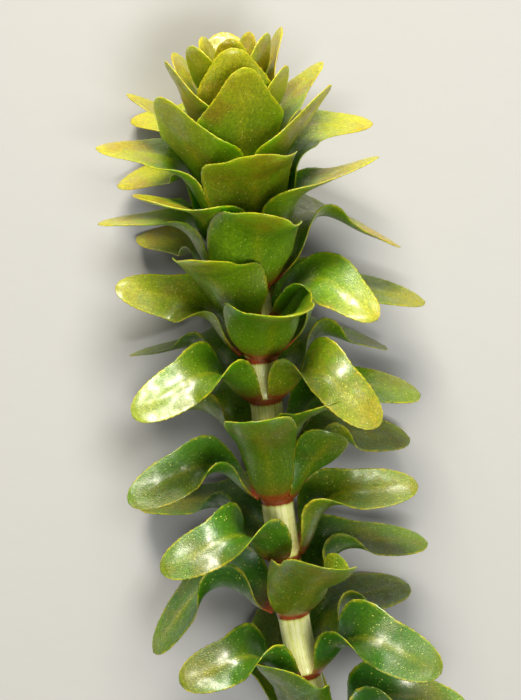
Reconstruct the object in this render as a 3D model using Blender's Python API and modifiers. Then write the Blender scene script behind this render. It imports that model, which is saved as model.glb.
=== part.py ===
"""Tip of a waterweed shoot, cut from the plant and lying on a flat surface.

The shoot lies along Y with its growing tip at +Y. X is across it and Z is up from the surface. The origin
is on the surface, under the middle of the shoot. Sizes below are in millimetres and angles in degrees, and
MM turns a size into metres.
"""

from typing import NamedTuple

import bmesh
import bpy
import numpy as np

MM = 0.001

# The stem, as a line seen from above from its cut end to its tip, with its height above the surface.
STEM_ROUTE = (
    (3.4, 0.0),
    (2.1, 4.7),
    (1.05, 10.0),
    (0.5, 14.8),
    (0.25, 18.8),
    (-0.3, 22.9),
    (-0.75, 25.8),
    (-1.0, 29.8),
)
STEM_LENGTH = 29.8
STEM_RADIUS = 0.68
STEM_HEIGHT = 5.256
STEM_SLOPE = 1.5
TAPER_LENGTH = 9.0
TIP_SHARE = 0.35
NODE_SWELLING = 0.07
NODE_SPREAD = 0.22

# Where each whorl of leaves grows, as a distance from the cut end.
LOWER_WHORLS = (1.8, 4.7, 7.5, 10.0, 12.6, 14.8, 17.0, 18.8)
UPPER_WHORLS = (20.4, 21.7, 22.9, 23.9, 24.9)
BUD_WHORLS = (25.8, 26.6, 27.3, 27.9, 28.5, 29.0)
WHORLS = LOWER_WHORLS + UPPER_WHORLS + BUD_WHORLS

# The point of the surface under the middle of the shoot, in the measures above.
MIDDLE = (1.246, 16.12)

LEAF_THICKNESS = 0.14
LEAF_GAP = 0.03
SMALLEST_HALF_WIDTH = 0.04

# How leaves change along the shoot. Each row of values belongs to the whorls in the first row.
STAGES = (7, 9, 13, 16, 18)
CHANNEL = (0.75, 0.4, 0.4, 0.4, 0.4)
BASE_BREADTH = (1.95, 1.65, 1.65, 1.5, 1.1)
NARROW_START = (0.3, 0.36, 0.42, 0.45, 0.4)
NARROW_SPAN = (0.3, 0.4, 0.45, 0.45, 0.4)
BASE_LEAN = (14, 22, 26, 22, 6)
OVERLAP = (0, 7, 7, 4, 0)
SHINGLE = (0, 3.5, 3.5, 2.5, 0)
SWING_START = (0, 0.25, 0.25, 0.25, 0.25)
TIP_START = (0.6, 0.55, 0.5, 0.5, 0.5)
TIP_POWER = (2.2, 1.9, 1.6, 1.6, 1.6)

# Where a leaf changes along its own length, in shares of that length.
LEAN_END = 0.28
TWIST_SPAN = 0.35
SWING_END = 0.8
OVERLAP_START = 0.08
OVERLAP_SPAN = 0.15
SHINGLE_SPAN = 0.15
SHINGLE_FADE_START = 0.4
SHINGLE_FADE_SPAN = 0.3
CHANNEL_START = 0.05
CHANNEL_SPAN = 0.25
FLAT_START = 0.36
FLAT_SPAN = 0.3

# How sharply the clasping width of a base gives way to the blade's own width.
WIDTH_CORNER = 8
# The least sine of the cone and the least distance from the stem's middle in the arc of a base.
LEAST_CONE = 0.2
LEAST_REACH = 0.3


class Leaf(NamedTuple):
    """One leaf. Its bearing is the way it points round the stem: 0 is up, 90 right, -90 left and 180 down.

    It leaves the stem at the angle rise above the stem's radius and bends to the angle tip, between the
    shares bend_start and bend_end of its length. It swings sideways by swing and turns about its midrib by
    twist. Its base clasps the stem over the angle clasp to each side. flat is how much its tip is
    channelled, as the inverse of a radius.
    """

    name: str
    whorl: int
    bearing: float
    rise: float = 66
    tip: float = -40
    length: float = 6.8
    width: float = 2.75
    swing: float = 0
    twist: float = 0
    twist_start: float = 0.28
    clasp: float = 58
    bend_start: float = 0.12
    bend_end: float = 0.64
    flat: float = 0.15


LEAVES = (
    Leaf("leaf_1_front", 1, -16, rise=76, tip=56, length=5.6, swing=-6, twist=-20, flat=0.5),
    Leaf("leaf_1_right", 1, 88, rise=32, tip=-32, length=6.2, width=2.3, twist=35),
    Leaf("leaf_1_back", 1, -152, tip=38, swing=-40),
    Leaf("leaf_2_left", 2, -58, rise=58, tip=-8, length=5.4, width=2.1, swing=-26, twist=-55),
    Leaf("leaf_2_right", 2, 62, rise=50, tip=-36, length=6.4, width=2.3, swing=14, twist=50, clasp=48),
    Leaf("leaf_2_back", 2, 152, rise=46, tip=-9, length=7.0, swing=-32, clasp=42, twist=25),
    Leaf("leaf_3_left", 3, -105, rise=50, tip=-46, length=7.1, width=2.4, swing=16, twist=-25),
    Leaf("leaf_3_front", 3, 22, rise=46, tip=34, length=5.2, width=3.6, swing=4, flat=0.5, twist=-24),
    Leaf("leaf_3_right", 3, 135, rise=56, tip=-16, length=7.1, width=2.4, swing=-34, twist=22),
    Leaf("leaf_4_left", 4, -35, rise=58, tip=-18, length=6.1, width=2.1, swing=-49, twist=-50),
    Leaf("leaf_4_right", 4, 92, rise=68, tip=-4, length=6.4, width=2.1, swing=2, twist=40, bend_start=0.16),
    Leaf("leaf_4_back", 4, -152, rise=41, tip=-3, length=7.8, width=2.4, swing=44, twist=-15, clasp=50),
    Leaf("leaf_5_left", 5, -92, rise=56, tip=-20, length=6.3, width=2.0, swing=16, twist=-55, clasp=38),
    Leaf("leaf_5_front", 5, -6, rise=74, tip=38, length=6.3, width=3.4, flat=0.55, clasp=44),
    Leaf("leaf_5_right", 5, 62, rise=66, tip=44, length=3.8, width=2.8, swing=-4, flat=0.5, clasp=28,
         twist=-45, twist_start=0.12),
    Leaf("leaf_5_back", 5, 145, rise=46, tip=-16, length=7.4, width=2.5, swing=-34, twist=30, clasp=40),
    Leaf("leaf_6_front", 6, 46, rise=60, tip=24, length=4.2, width=2.4, swing=12, flat=0.4, clasp=40),
    Leaf("leaf_6_right", 6, 120, rise=56, tip=-18, length=7.2, width=2.4, swing=-14, twist=25, clasp=34),
    Leaf("leaf_6_left", 6, -123, rise=50, tip=-10, length=6.2, width=2.4),
    Leaf("leaf_7_left", 7, -48, rise=56, tip=-22, length=6.3, width=2.1, swing=-24, twist=-50, clasp=46),
    Leaf("leaf_7_right", 7, 48, rise=52, tip=-46, length=6.0, width=2.1, swing=18, twist=40, clasp=46),
    Leaf("leaf_7_back_right", 7, 140, rise=56, tip=-24, length=7.3, width=2.4, swing=-16, twist=15,
         clasp=42),
    Leaf("leaf_7_back_left", 7, -136, rise=54, tip=-10, length=7.1, width=2.4, swing=16, clasp=42),
    Leaf("leaf_8_left", 8, -114, rise=64, tip=18, length=6.4, width=2.0, swing=30, twist=-55),
    Leaf("leaf_8_front", 8, 16, rise=58, tip=16, length=6.0, width=3.0, flat=0.45),
    Leaf("leaf_8_right", 8, 126, rise=55, tip=-20, length=8.2, width=2.5, swing=-20, twist=20),
    Leaf("leaf_9_front", 9, -40, rise=64, tip=24, length=6.0, width=2.7, swing=46, twist=-10, flat=0.4,
         bend_start=0.25),
    Leaf("leaf_9_right", 9, 80, rise=62, tip=-36, length=5.6, width=2.1, swing=-24, twist=30),
    Leaf("leaf_9_left", 9, -160, rise=61, tip=4, length=8.0, swing=46, twist=-18),
    Leaf("leaf_10_left", 10, -110, rise=64, tip=4, length=7.0, swing=22, bend_start=0.3, bend_end=0.68),
    Leaf("leaf_10_front", 10, 10, rise=66, tip=24, length=6.4, swing=4, twist=-20, flat=0.4,
         bend_start=0.3),
    Leaf("leaf_10_right", 10, 130, rise=62, tip=-32, length=8.0, swing=-34, bend_start=0.2),
    Leaf("leaf_11_left", 11, -160, rise=66, tip=-12, length=9.0, swing=54, bend_start=0.25,
         bend_end=0.7, clasp=50, twist=-22),
    Leaf("leaf_11_front", 11, -50, rise=66, tip=24, length=5.8, swing=-28, bend_start=0.3),
    Leaf("leaf_11_right", 11, 70, rise=66, tip=18, length=6.8, swing=16, bend_start=0.3),
    Leaf("leaf_12_left", 12, -105, rise=68, tip=14, length=7.2, swing=14, bend_start=0.3,
         bend_end=0.75, twist=-12),
    Leaf("leaf_12_front", 12, 15, rise=70, tip=26, length=6.4, width=2.9, swing=-12, flat=0.35,
         bend_start=0.3),
    Leaf("leaf_12_right", 12, 135, rise=68, tip=-4, length=7.8, swing=-42, bend_start=0.3,
         bend_end=0.8, twist=18),
    Leaf("leaf_13_left", 13, -50, rise=68, tip=60, length=6.4, swing=6, bend_start=0.3),
    Leaf("leaf_13_right", 13, 70, rise=68, tip=48, length=6.4, swing=-4, bend_start=0.3),
    Leaf("leaf_13_back", 13, -170, rise=68, tip=2, length=8.8, swing=56, bend_start=0.2, twist=-20),
    Leaf("bud_leaf_14_left", 14, -112, rise=68, tip=36, length=6.0, swing=16, bend_start=0.3),
    Leaf("bud_leaf_14_front", 14, 8, rise=70, tip=64, length=6.2, swing=10, bend_start=0.3),
    Leaf("bud_leaf_14_right", 14, 128, rise=68, tip=40, length=6.2, swing=-16, bend_start=0.3),
    Leaf("bud_leaf_15_left", 15, -54, rise=70, tip=66, length=5.6, swing=-20, bend_start=0.3),
    Leaf("bud_leaf_15_right", 15, 66, rise=72, tip=64, length=4.8, bend_start=0.3),
    Leaf("bud_leaf_15_back", 15, -174, rise=70, tip=44, length=5.4, bend_start=0.3),
    Leaf("bud_leaf_16_front", 16, 6, rise=73, tip=74, length=5.0, bend_start=0.3),
    Leaf("bud_leaf_16_left", 16, -114, rise=73, tip=64, length=4.8, swing=8, bend_start=0.3),
    Leaf("bud_leaf_16_right", 16, 126, rise=73, tip=66, length=5.4, swing=-24, bend_start=0.3),
    Leaf("bud_leaf_17_left", 17, -54, rise=78, tip=71, length=4.4, bend_start=0.3),
    Leaf("bud_leaf_17_right", 17, 66, rise=78, tip=71, length=4.6, bend_start=0.3),
    Leaf("bud_leaf_17_back", 17, -174, rise=77, tip=62, length=4.6, bend_start=0.3),
    Leaf("bud_leaf_18_front", 18, 6, rise=83, tip=78, length=3.8, width=2.2),
    Leaf("bud_leaf_18_left", 18, -114, rise=83, tip=77, length=3.8, width=2.2),
    Leaf("bud_leaf_18_right", 18, 126, rise=83, tip=77, length=3.8, width=2.2),
    Leaf("bud_leaf_19_front", 19, -54, rise=90, tip=90, length=2.8, width=1.3, clasp=46),
    Leaf("bud_leaf_19_back", 19, 126, rise=90, tip=90, length=2.8, width=1.3, clasp=46),
)

ROWS_OF_A_LEAF = 8
ROWS_OF_A_BUD_LEAF = 5
ACROSS_A_LEAF = 4
ROW_CROWDING = 0.1
FIRST_BUD_WHORL = 14
PATH_STEPS = 160


def ease(share):
    """A share from 0 to 1 that starts and ends gently, and stays 0 below 0 and 1 above 1."""
    share = np.clip(share, 0, 1)
    return share * share * (3 - 2 * share)


STEM_CURVE = np.polyfit([y for _, y in STEM_ROUTE], [x for x, _ in STEM_ROUTE], 4)


def stem_point(distance):
    """The middle of the stem at a distance from its cut end."""
    height = STEM_HEIGHT + np.tan(np.radians(STEM_SLOPE)) * distance
    return np.array([np.polyval(STEM_CURVE, distance) - MIDDLE[0], distance - MIDDLE[1], height])


def stem_radius(distance):
    """The radius between nodes: even along the shoot, and smaller within the bud."""
    return STEM_RADIUS * (TIP_SHARE + (1 - TIP_SHARE) * ease((STEM_LENGTH - distance) / TAPER_LENGTH))


def stem_frame(distance):
    """The stem's middle, its direction, and the two directions across it: up and to the right."""
    step = 0.01
    along = stem_point(distance + step) - stem_point(distance - step)
    along /= np.linalg.norm(along)
    up = np.array([0.0, 0.0, 1.0])
    up -= up.dot(along) * along
    up /= np.linalg.norm(up)
    return stem_point(distance), along, up, np.cross(along, up)


def leaf_surface(leaf, share, across):
    """Points of a leaf's middle surface, for shares of its length (0 to 1) and places across it (-1 to 1).

    The midrib is followed in small steps from the stem outwards. It starts leaning outwards, straightens to
    the leaf's rise and then bends to its tip. Across it the leaf is an arc. Near the stem that is the arc of
    the cone that the whorl's bases form together, and further out it opens. The bases of the upper whorls
    widen until they lap over each other, and each is turned a little so that one margin lies on top.
    """
    distance = WHORLS[leaf.whorl - 1]
    centre, along, up, right = stem_frame(distance)
    start = stem_radius(distance) * (1 + NODE_SWELLING) + LEAF_GAP + LEAF_THICKNESS / 2
    fine = np.linspace(0, 1, PATH_STEPS + 1)
    step = leaf.length / PATH_STEPS

    def stage(values):
        return np.interp(leaf.whorl, STAGES, values)

    bend = ease((fine - leaf.bend_start) / (leaf.bend_end - leaf.bend_start))
    lean = stage(BASE_LEAN) * (1 - ease(fine / LEAN_END))
    slope = np.radians(leaf.rise - lean + (leaf.tip - leaf.rise) * bend)
    swing_start = stage(SWING_START)
    swung = leaf.swing * ease((fine - swing_start) / (SWING_END - swing_start))
    bearing = np.radians(leaf.bearing + swung)[:, None]
    out = np.cos(bearing) * up + np.sin(bearing) * right
    side = np.cos(bearing) * right - np.sin(bearing) * up
    forward = np.cos(slope)[:, None] * out + np.sin(slope)[:, None] * along
    face = np.cos(slope)[:, None] * along - np.sin(slope)[:, None] * out
    walked = np.cumsum((forward[1:] + forward[:-1]) / 2 * step, axis=0)
    midrib = centre + start * out[0] + np.vstack([np.zeros(3), walked])
    reach = start + np.concatenate([[0], np.cumsum(np.cos(slope[1:]) * step)])

    twist = leaf.twist * ease((fine - leaf.twist_start) / TWIST_SPAN)
    faded = 1 - ease((fine - SHINGLE_FADE_START) / SHINGLE_FADE_SPAN)
    shingle = stage(SHINGLE) * ease(fine / SHINGLE_SPAN) * faded
    turn = np.radians(twist + shingle)[:, None]
    side, face = np.cos(turn) * side + np.sin(turn) * face, np.cos(turn) * face - np.sin(turn) * side

    breadth = stage(BASE_BREADTH)
    narrowed = ease((fine - stage(NARROW_START)) / stage(NARROW_SPAN))
    full = leaf.width / 2 * (breadth + (1 - breadth) * narrowed)
    clasp = leaf.clasp + stage(OVERLAP) * ease((fine - OVERLAP_START) / OVERLAP_SPAN)
    clasping = np.radians(clasp) * reach
    both = (full**WIDTH_CORNER + clasping**WIDTH_CORNER) ** (1 / WIDTH_CORNER)
    half_width = full * clasping / both
    rounding = np.clip((fine - stage(TIP_START)) / (1 - stage(TIP_START)), 0, 1)
    half_width = np.maximum(half_width * np.sqrt(1 - rounding ** stage(TIP_POWER)), SMALLEST_HALF_WIDTH)

    cone = np.maximum(np.sin(slope), LEAST_CONE) / np.maximum(reach, LEAST_REACH)
    channel = stage(CHANNEL)
    arc = cone + (channel - cone) * ease((fine - CHANNEL_START) / CHANNEL_SPAN)
    arc += (leaf.flat - channel) * ease((fine - FLAT_START) / FLAT_SPAN)

    def at(values):
        return np.stack([np.interp(share, fine, column) for column in values.T], axis=-1)

    bow = np.interp(share, fine, arc)
    reach_across = across * np.interp(share, fine, half_width)
    sideways = np.sin(bow * reach_across) / bow
    raised = (1 - np.cos(bow * reach_across)) / bow
    return at(midrib) + sideways[:, None] * at(side) + raised[:, None] * at(face)


def make_material(name, colour, roughness):
    material = bpy.data.materials.new(name)
    material.use_nodes = True
    shader = material.node_tree.nodes["Principled BSDF"]
    shader.inputs["Base Color"].default_value = (*colour, 1)
    shader.inputs["Roughness"].default_value = roughness
    shader.inputs["Metallic"].default_value = 0
    return material


def add_stem(collection, material):
    """A round stem along its curve, a little thicker at each node, with a blunt growing tip."""
    places = [0.0]
    for node in WHORLS:
        places += [node - 2 * NODE_SPREAD, node, node + 2 * NODE_SPREAD]
    places = sorted(place for place in places if place < WHORLS[9] + NODE_SPREAD)
    places += [*WHORLS[10:], STEM_LENGTH]

    curve = bpy.data.curves.new("stem", "CURVE")
    curve.dimensions = "3D"
    curve.bevel_depth = STEM_RADIUS * MM
    curve.bevel_resolution = 3
    curve.use_fill_caps = True
    spline = curve.splines.new("POLY")
    spline.points.add(len(places) - 1)
    for point, place in zip(spline.points, places):
        swelling = sum(np.exp(-(((place - node) / NODE_SPREAD) ** 2)) for node in WHORLS[:10])
        point.co = (*(stem_point(place) * MM), 1)
        point.radius = stem_radius(place) * (1 + NODE_SWELLING * swelling) / STEM_RADIUS
    stem = bpy.data.objects.new("stem", curve)
    stem.data.materials.append(material)
    collection.objects.link(stem)


def add_leaf(collection, leaf, material):
    """A grid bent to the leaf's middle surface, and given its thickness."""
    rows = ROWS_OF_A_BUD_LEAF if leaf.whorl >= FIRST_BUD_WHORL else ROWS_OF_A_LEAF
    mesh = bpy.data.meshes.new(leaf.name)
    bm = bmesh.new()
    bmesh.ops.create_grid(bm, x_segments=ACROSS_A_LEAF, y_segments=rows, size=1)
    across = np.array([vertex.co.x for vertex in bm.verts])
    even = np.array([(vertex.co.y + 1) / 2 for vertex in bm.verts])
    share = np.clip(even + ROW_CROWDING * even * np.sin(np.pi * even), 0, 1)
    for vertex, place in zip(bm.verts, leaf_surface(leaf, share, across) * MM):
        vertex.co = place
    bm.to_mesh(mesh)
    bm.free()
    mesh.shade_smooth()
    blade = bpy.data.objects.new(leaf.name, mesh)
    blade.data.materials.append(material)
    wall = blade.modifiers.new("thickness", "SOLIDIFY")
    wall.thickness = LEAF_THICKNESS * MM
    wall.offset = 0
    collection.objects.link(blade)


def main():
    for obj in list(bpy.data.objects):
        bpy.data.objects.remove(obj)
    shoot = bpy.data.collections.new("waterweed_shoot")
    bpy.context.scene.collection.children.link(shoot)
    cream = make_material("stem cream", (0.72, 0.76, 0.3), 0.35)
    deep_green = make_material("leaf green", (0.1, 0.26, 0.015), 0.3)
    yellow_green = make_material("bud green", (0.3, 0.36, 0.01), 0.3)
    add_stem(shoot, cream)
    for leaf in LEAVES:
        add_leaf(shoot, leaf, yellow_green if leaf.whorl >= FIRST_BUD_WHORL else deep_green)


main()
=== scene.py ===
"""Looks of a waterweed shoot: fine leaves and a fine stem, their materials, a plain floor and soft light.

Sizes are in millimetres in the shoot's own frame and are turned into metres when a mesh is made. The shoot
lies along Y with its growing tip at +Y, X is across it and Z is up from the surface.
"""

from typing import NamedTuple

import bmesh
import bpy
import numpy as np
from bpy.props import FloatProperty, FloatVectorProperty, IntProperty, PointerProperty
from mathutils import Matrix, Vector


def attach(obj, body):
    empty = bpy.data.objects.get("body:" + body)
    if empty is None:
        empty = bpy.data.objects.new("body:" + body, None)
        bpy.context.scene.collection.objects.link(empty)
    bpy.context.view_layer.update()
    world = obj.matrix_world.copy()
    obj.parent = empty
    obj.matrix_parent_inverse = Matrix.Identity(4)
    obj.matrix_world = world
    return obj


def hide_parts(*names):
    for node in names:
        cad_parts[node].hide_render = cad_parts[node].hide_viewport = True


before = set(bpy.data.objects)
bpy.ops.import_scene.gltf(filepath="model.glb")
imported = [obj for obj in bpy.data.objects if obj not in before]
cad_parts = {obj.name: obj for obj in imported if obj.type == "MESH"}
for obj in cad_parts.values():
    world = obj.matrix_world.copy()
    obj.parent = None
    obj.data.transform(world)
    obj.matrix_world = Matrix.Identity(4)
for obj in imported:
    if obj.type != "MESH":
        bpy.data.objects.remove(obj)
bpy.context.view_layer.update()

bl_info = {
    "name": "Waterweed Shoot",
    "version": (1, 0, 0),
    "blender": (4, 5, 0),
    "location": "3D View > Sidebar > Waterweed",
    "description": "Adds the leaves, stem, materials and stage of a waterweed shoot",
    "category": "Add Mesh",
}

MM = 0.001

# The stem, as a line seen from above from its cut end to its tip, with its height above the surface.
STEM_ROUTE = (
    (3.4, 0.0),
    (2.1, 4.7),
    (1.05, 10.0),
    (0.5, 14.8),
    (0.25, 18.8),
    (-0.3, 22.9),
    (-0.75, 25.8),
    (-1.0, 29.8),
)
STEM_LENGTH = 29.8
STEM_RADIUS = 0.68
STEM_HEIGHT = 5.256
STEM_SLOPE = 1.5
CURVE_ORDER = 4
TAPER_LENGTH = 9.0
TIP_SHARE = 0.35
NODE_SWELLING = 0.07
NODE_SPREAD = 0.22
LOWER_WHORLS = (1.8, 4.7, 7.5, 10.0, 12.6, 14.8, 17.0, 18.8)
UPPER_WHORLS = (20.4, 21.7, 22.9, 23.9, 24.9)
BUD_WHORLS = (25.8, 26.6, 27.3, 27.9, 28.5, 29.0)
WHORLS = LOWER_WHORLS + UPPER_WHORLS + BUD_WHORLS
MIDDLE = (1.246, 16.12)

LEAF_THICKNESS = 0.14
LEAF_GAP = 0.03
SMALLEST_HALF_WIDTH = 0.04

# How leaves change along the shoot. Each row of values belongs to the whorls in the first row.
STAGES = (7, 9, 13, 16, 18)
CHANNEL = (0.75, 0.4, 0.4, 0.4, 0.4)
BASE_BREADTH = (1.95, 1.65, 1.65, 1.5, 1.1)
NARROW_START = (0.3, 0.36, 0.42, 0.45, 0.4)
NARROW_SPAN = (0.3, 0.4, 0.45, 0.45, 0.4)
BASE_LEAN = (14, 22, 26, 22, 6)
OVERLAP = (0, 7, 7, 4, 0)
SHINGLE = (0, 3.5, 3.5, 2.5, 0)
SWING_START = (0, 0.25, 0.25, 0.25, 0.25)
TIP_START = (0.6, 0.55, 0.5, 0.5, 0.5)
TIP_POWER = (2.2, 1.9, 1.6, 1.6, 1.6)

# Where a leaf changes along its own length, in shares of that length.
LEAN_END = 0.28
TWIST_SPAN = 0.35
SWING_END = 0.8
OVERLAP_START = 0.08
OVERLAP_SPAN = 0.15
SHINGLE_SPAN = 0.15
SHINGLE_FADE_START = 0.4
SHINGLE_FADE_SPAN = 0.3
CHANNEL_START = 0.05
CHANNEL_SPAN = 0.25
FLAT_START = 0.36
FLAT_SPAN = 0.3

# How sharply the clasping width of a base gives way to the blade's own width.
WIDTH_CORNER = 8
# The least sine of the cone and the least distance from the stem's middle in the arc of a base.
LEAST_CONE = 0.2
LEAST_REACH = 0.3
# Steps in which a leaf's midrib is followed, and the least length by which a vector is divided.
PATH_STEPS = 160
SHORTEST = 1e-12

# The whorls at which the spreading upper leaves and the bud begin, and the last one.
FIRST_UPPER_WHORL = 9
FIRST_BUD_WHORL = 14
LAST_WHORL = 19


class Leaf(NamedTuple):
    """One leaf. Its bearing is the way it points round the stem: 0 is up, 90 right, -90 left and 180 down.

    It leaves the stem at the angle rise above the stem's radius and bends to the angle tip, between the
    shares bend_start and bend_end of its length. It swings sideways by swing and turns about its midrib by
    twist. Its base clasps the stem over the angle clasp to each side. flat is how much its tip is
    channelled, as the inverse of a radius.
    """

    name: str
    whorl: int
    bearing: float
    rise: float = 66
    tip: float = -40
    length: float = 6.8
    width: float = 2.75
    swing: float = 0
    twist: float = 0
    twist_start: float = 0.28
    clasp: float = 58
    bend_start: float = 0.12
    bend_end: float = 0.64
    flat: float = 0.15


LEAVES = (
    Leaf("leaf_1_front", 1, -16, rise=76, tip=56, length=5.6, swing=-6, twist=-20, flat=0.5),
    Leaf("leaf_1_right", 1, 88, rise=32, tip=-32, length=6.2, width=2.3, twist=35),
    Leaf("leaf_1_back", 1, -152, tip=38, swing=-40),
    Leaf("leaf_2_left", 2, -58, rise=58, tip=-8, length=5.4, width=2.1, swing=-26, twist=-55),
    Leaf("leaf_2_right", 2, 62, rise=50, tip=-36, length=6.4, width=2.3, swing=14, twist=50, clasp=48),
    Leaf("leaf_2_back", 2, 152, rise=46, tip=-9, length=7.0, swing=-32, clasp=42, twist=25),
    Leaf("leaf_3_left", 3, -105, rise=50, tip=-46, length=7.1, width=2.4, swing=16, twist=-25),
    Leaf("leaf_3_front", 3, 22, rise=46, tip=34, length=5.2, width=3.6, swing=4, flat=0.5, twist=-24),
    Leaf("leaf_3_right", 3, 135, rise=56, tip=-16, length=7.1, width=2.4, swing=-34, twist=22),
    Leaf("leaf_4_left", 4, -35, rise=58, tip=-18, length=6.1, width=2.1, swing=-49, twist=-50),
    Leaf("leaf_4_right", 4, 92, rise=68, tip=-4, length=6.4, width=2.1, swing=2, twist=40, bend_start=0.16),
    Leaf("leaf_4_back", 4, -152, rise=41, tip=-3, length=7.8, width=2.4, swing=44, twist=-15, clasp=50),
    Leaf("leaf_5_left", 5, -92, rise=56, tip=-20, length=6.3, width=2.0, swing=16, twist=-55, clasp=38),
    Leaf("leaf_5_front", 5, -6, rise=74, tip=38, length=6.3, width=3.4, flat=0.55, clasp=44),
    Leaf("leaf_5_right", 5, 62, rise=66, tip=44, length=3.8, width=2.8, swing=-4, flat=0.5, clasp=28,
         twist=-45, twist_start=0.12),
    Leaf("leaf_5_back", 5, 145, rise=46, tip=-16, length=7.4, width=2.5, swing=-34, twist=30, clasp=40),
    Leaf("leaf_6_front", 6, 46, rise=60, tip=24, length=4.2, width=2.4, swing=12, flat=0.4, clasp=40),
    Leaf("leaf_6_right", 6, 120, rise=56, tip=-18, length=7.2, width=2.4, swing=-14, twist=25, clasp=34),
    Leaf("leaf_6_left", 6, -123, rise=50, tip=-10, length=6.2, width=2.4),
    Leaf("leaf_7_left", 7, -48, rise=56, tip=-22, length=6.3, width=2.1, swing=-24, twist=-50, clasp=46),
    Leaf("leaf_7_right", 7, 48, rise=52, tip=-46, length=6.0, width=2.1, swing=18, twist=40, clasp=46),
    Leaf("leaf_7_back_right", 7, 140, rise=56, tip=-24, length=7.3, width=2.4, swing=-16, twist=15,
         clasp=42),
    Leaf("leaf_7_back_left", 7, -136, rise=54, tip=-10, length=7.1, width=2.4, swing=16, clasp=42),
    Leaf("leaf_8_left", 8, -114, rise=64, tip=18, length=6.4, width=2.0, swing=30, twist=-55),
    Leaf("leaf_8_front", 8, 16, rise=58, tip=16, length=6.0, width=3.0, flat=0.45),
    Leaf("leaf_8_right", 8, 126, rise=55, tip=-20, length=8.2, width=2.5, swing=-20, twist=20),
    Leaf("leaf_9_front", 9, -40, rise=64, tip=24, length=6.0, width=2.7, swing=46, twist=-10, flat=0.4,
         bend_start=0.25),
    Leaf("leaf_9_right", 9, 80, rise=62, tip=-36, length=5.6, width=2.1, swing=-24, twist=30),
    Leaf("leaf_9_left", 9, -160, rise=61, tip=4, length=8.0, swing=46, twist=-18),
    Leaf("leaf_10_left", 10, -110, rise=64, tip=4, length=7.0, swing=22, bend_start=0.3, bend_end=0.68),
    Leaf("leaf_10_front", 10, 10, rise=66, tip=24, length=6.4, swing=4, twist=-20, flat=0.4,
         bend_start=0.3),
    Leaf("leaf_10_right", 10, 130, rise=62, tip=-32, length=8.0, swing=-34, bend_start=0.2),
    Leaf("leaf_11_left", 11, -160, rise=66, tip=-12, length=9.0, swing=54, bend_start=0.25,
         bend_end=0.7, clasp=50, twist=-22),
    Leaf("leaf_11_front", 11, -50, rise=66, tip=24, length=5.8, swing=-28, bend_start=0.3),
    Leaf("leaf_11_right", 11, 70, rise=66, tip=18, length=6.8, swing=16, bend_start=0.3),
    Leaf("leaf_12_left", 12, -105, rise=68, tip=14, length=7.2, swing=14, bend_start=0.3,
         bend_end=0.75, twist=-12),
    Leaf("leaf_12_front", 12, 15, rise=70, tip=26, length=6.4, width=2.9, swing=-12, flat=0.35,
         bend_start=0.3),
    Leaf("leaf_12_right", 12, 135, rise=68, tip=-4, length=7.8, swing=-42, bend_start=0.3,
         bend_end=0.8, twist=18),
    Leaf("leaf_13_left", 13, -50, rise=68, tip=60, length=6.4, swing=6, bend_start=0.3),
    Leaf("leaf_13_right", 13, 70, rise=68, tip=48, length=6.4, swing=-4, bend_start=0.3),
    Leaf("leaf_13_back", 13, -170, rise=68, tip=2, length=8.8, swing=56, bend_start=0.2, twist=-20),
    Leaf("bud_leaf_14_left", 14, -112, rise=68, tip=36, length=6.0, swing=16, bend_start=0.3),
    Leaf("bud_leaf_14_front", 14, 8, rise=70, tip=64, length=6.2, swing=10, bend_start=0.3),
    Leaf("bud_leaf_14_right", 14, 128, rise=68, tip=40, length=6.2, swing=-16, bend_start=0.3),
    Leaf("bud_leaf_15_left", 15, -54, rise=70, tip=66, length=5.6, swing=-20, bend_start=0.3),
    Leaf("bud_leaf_15_right", 15, 66, rise=72, tip=64, length=4.8, bend_start=0.3),
    Leaf("bud_leaf_15_back", 15, -174, rise=70, tip=44, length=5.4, bend_start=0.3),
    Leaf("bud_leaf_16_front", 16, 6, rise=73, tip=74, length=5.0, bend_start=0.3),
    Leaf("bud_leaf_16_left", 16, -114, rise=73, tip=64, length=4.8, swing=8, bend_start=0.3),
    Leaf("bud_leaf_16_right", 16, 126, rise=73, tip=66, length=5.4, swing=-24, bend_start=0.3),
    Leaf("bud_leaf_17_left", 17, -54, rise=78, tip=71, length=4.4, bend_start=0.3),
    Leaf("bud_leaf_17_right", 17, 66, rise=78, tip=71, length=4.6, bend_start=0.3),
    Leaf("bud_leaf_17_back", 17, -174, rise=77, tip=62, length=4.6, bend_start=0.3),
    Leaf("bud_leaf_18_front", 18, 6, rise=83, tip=78, length=3.8, width=2.2),
    Leaf("bud_leaf_18_left", 18, -114, rise=83, tip=77, length=3.8, width=2.2),
    Leaf("bud_leaf_18_right", 18, 126, rise=83, tip=77, length=3.8, width=2.2),
    Leaf("bud_leaf_19_front", 19, -54, rise=90, tip=90, length=2.8, width=1.3, clasp=46),
    Leaf("bud_leaf_19_back", 19, 126, rise=90, tip=90, length=2.8, width=1.3, clasp=46),
)


def ease(share):
    """A share from 0 to 1 that starts and ends gently, and stays 0 below 0 and 1 above 1."""
    share = np.clip(share, 0, 1)
    return share * share * (3 - 2 * share)


STEM_CURVE = np.polyfit([y for _, y in STEM_ROUTE], [x for x, _ in STEM_ROUTE], CURVE_ORDER)


def stem_point(distance):
    """The middle of the stem at a distance from its cut end: a polynomial curve, on a gentle slope."""
    height = STEM_HEIGHT + np.tan(np.radians(STEM_SLOPE)) * distance
    return np.stack([np.polyval(STEM_CURVE, distance) - MIDDLE[0], distance - MIDDLE[1], height], axis=-1)


def stem_radius(distance):
    """The radius between nodes: even along the shoot, and smaller within the bud."""
    return STEM_RADIUS * (TIP_SHARE + (1 - TIP_SHARE) * ease((STEM_LENGTH - distance) / TAPER_LENGTH))


def unit(vectors):
    """Each vector divided by its own length."""
    return vectors / np.maximum(np.linalg.norm(vectors, axis=-1, keepdims=True), SHORTEST)


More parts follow.
